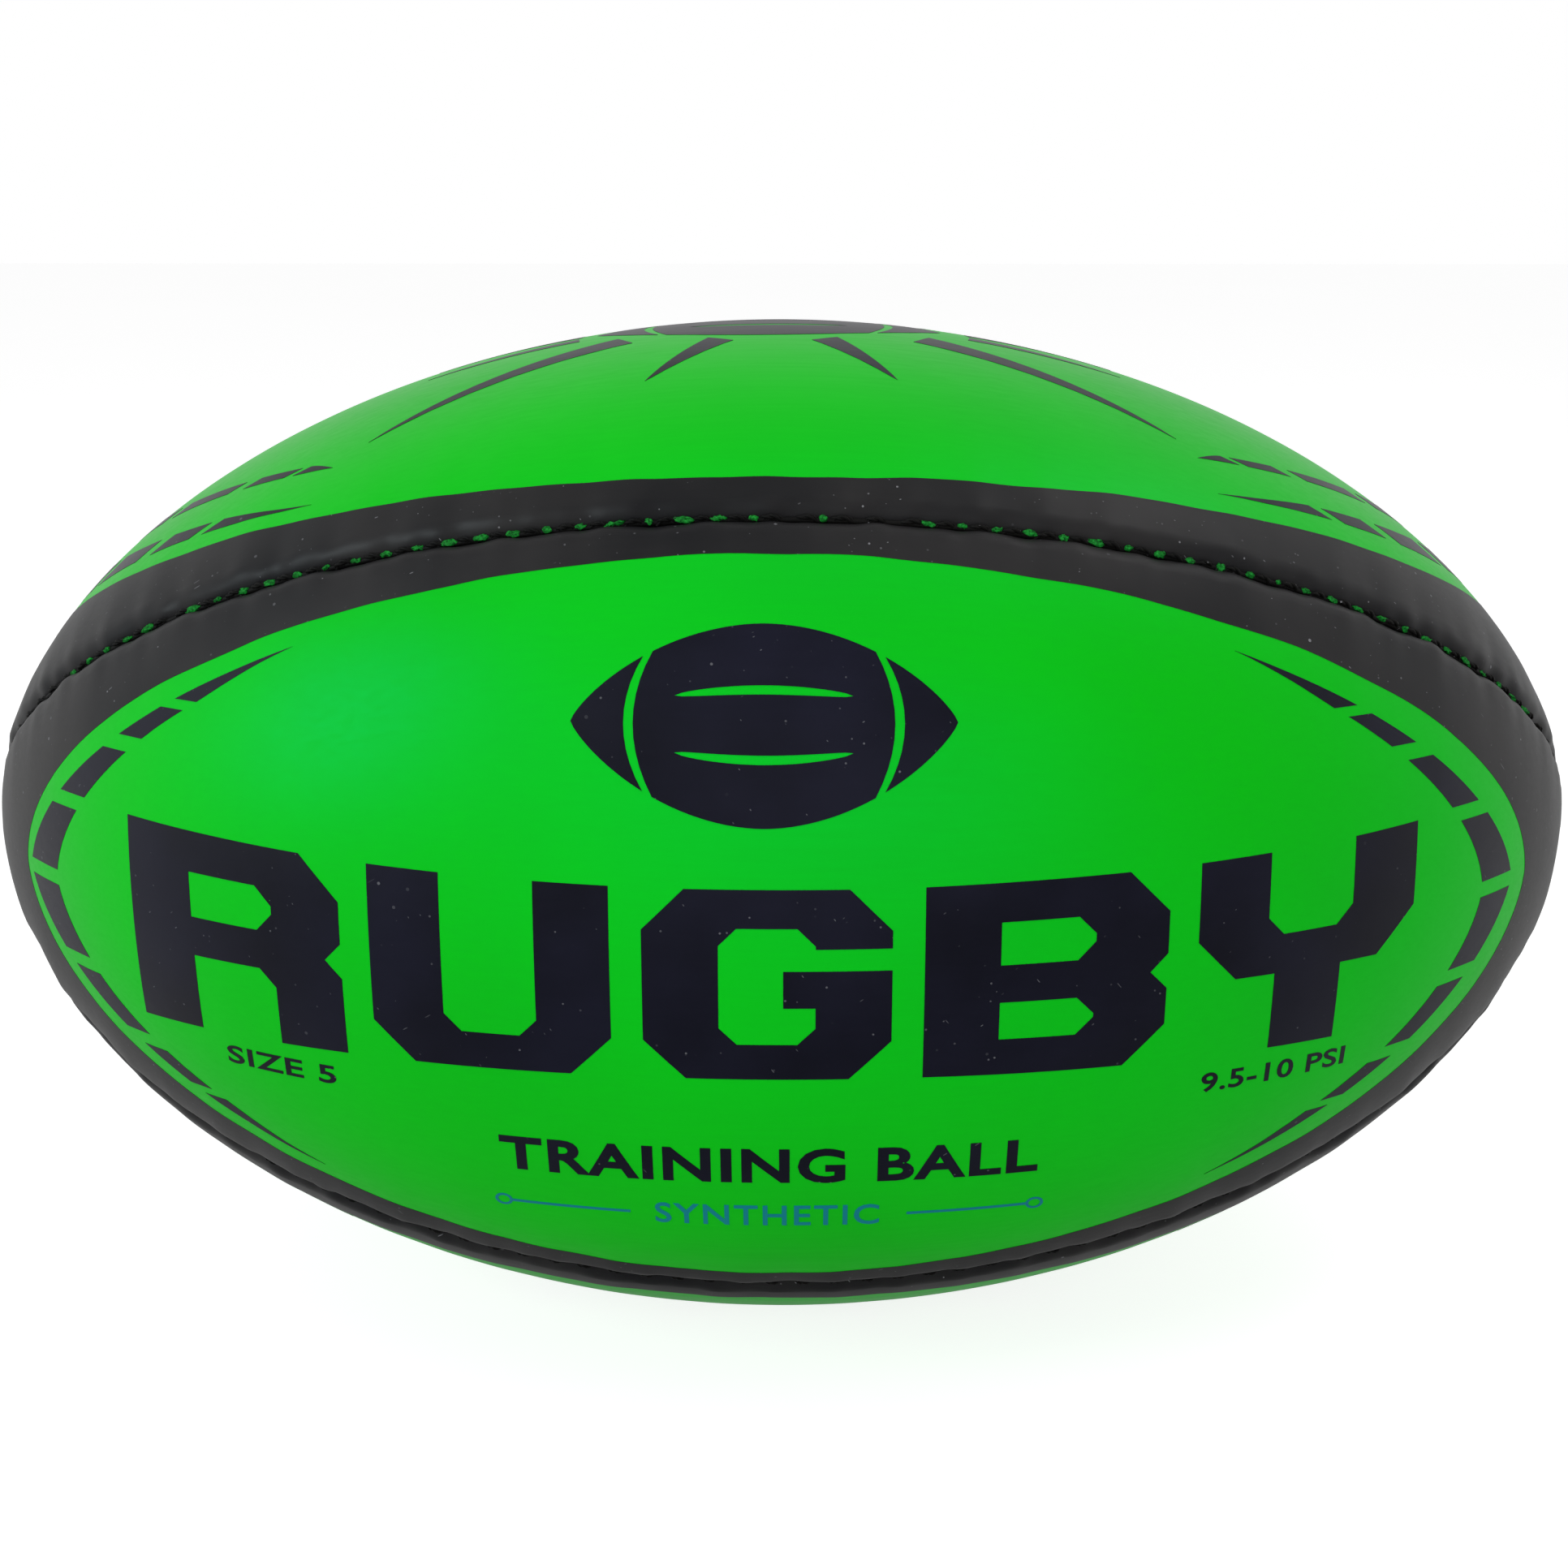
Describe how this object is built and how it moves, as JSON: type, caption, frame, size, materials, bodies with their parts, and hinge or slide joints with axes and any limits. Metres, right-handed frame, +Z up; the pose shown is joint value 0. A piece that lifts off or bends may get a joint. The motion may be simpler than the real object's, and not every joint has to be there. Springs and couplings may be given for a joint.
{
  "type": "rugby ball",
  "caption": "Full-size oval rugby ball with stitched printed panels, bonded cloth backings, an inner bladder and a needle valve whose plug pulls out.",
  "frame": {"origin": "centre of the ball", "axes": "+X along the ball's long axis, to the right when the front panel faces the viewer; +Z up through the middle of the top panel; the front panel faces -Y and the valve is in the back panel"},
  "size_m": [0.2958, 0.1824, 0.1824],
  "materials": {
    "cover": "satin printed cover, mid green with black edge bands",
    "ink": "satin black print",
    "backing": "woven laminate",
    "thread": "waxed thread",
    "bladder": "satin moulded",
    "valve": "satin moulded",
    "patch": "woven disc",
    "plug": "smooth latex"
  },
  "bodies": {
    "ball": {"panel_front": "cover", "panel_top": "cover", "panel_back": "cover", "panel_bottom": "cover", "backing_front": "backing", "backing_top": "backing", "backing_back": "backing", "backing_bottom": "backing", "seam_thread_front_top": "thread", "seam_thread_top_back": "thread", "seam_thread_back_bottom": "thread", "seam_thread_bottom_front": "thread", "tip_knot_left": "thread", "tip_knot_right": "thread", "bladder": "bladder", "valve_collar": "valve", "valve_housing": "valve", "valve_patch": "patch"},
    "plug": {"valve_plug": "plug"}
  },
  "joints": [
    {"name": "plug_pull", "type": "slide", "parent": "ball", "child": "plug", "axis": [0, 0.941, 0.3383], "range_m": [0, 0.02]}
  ]
}
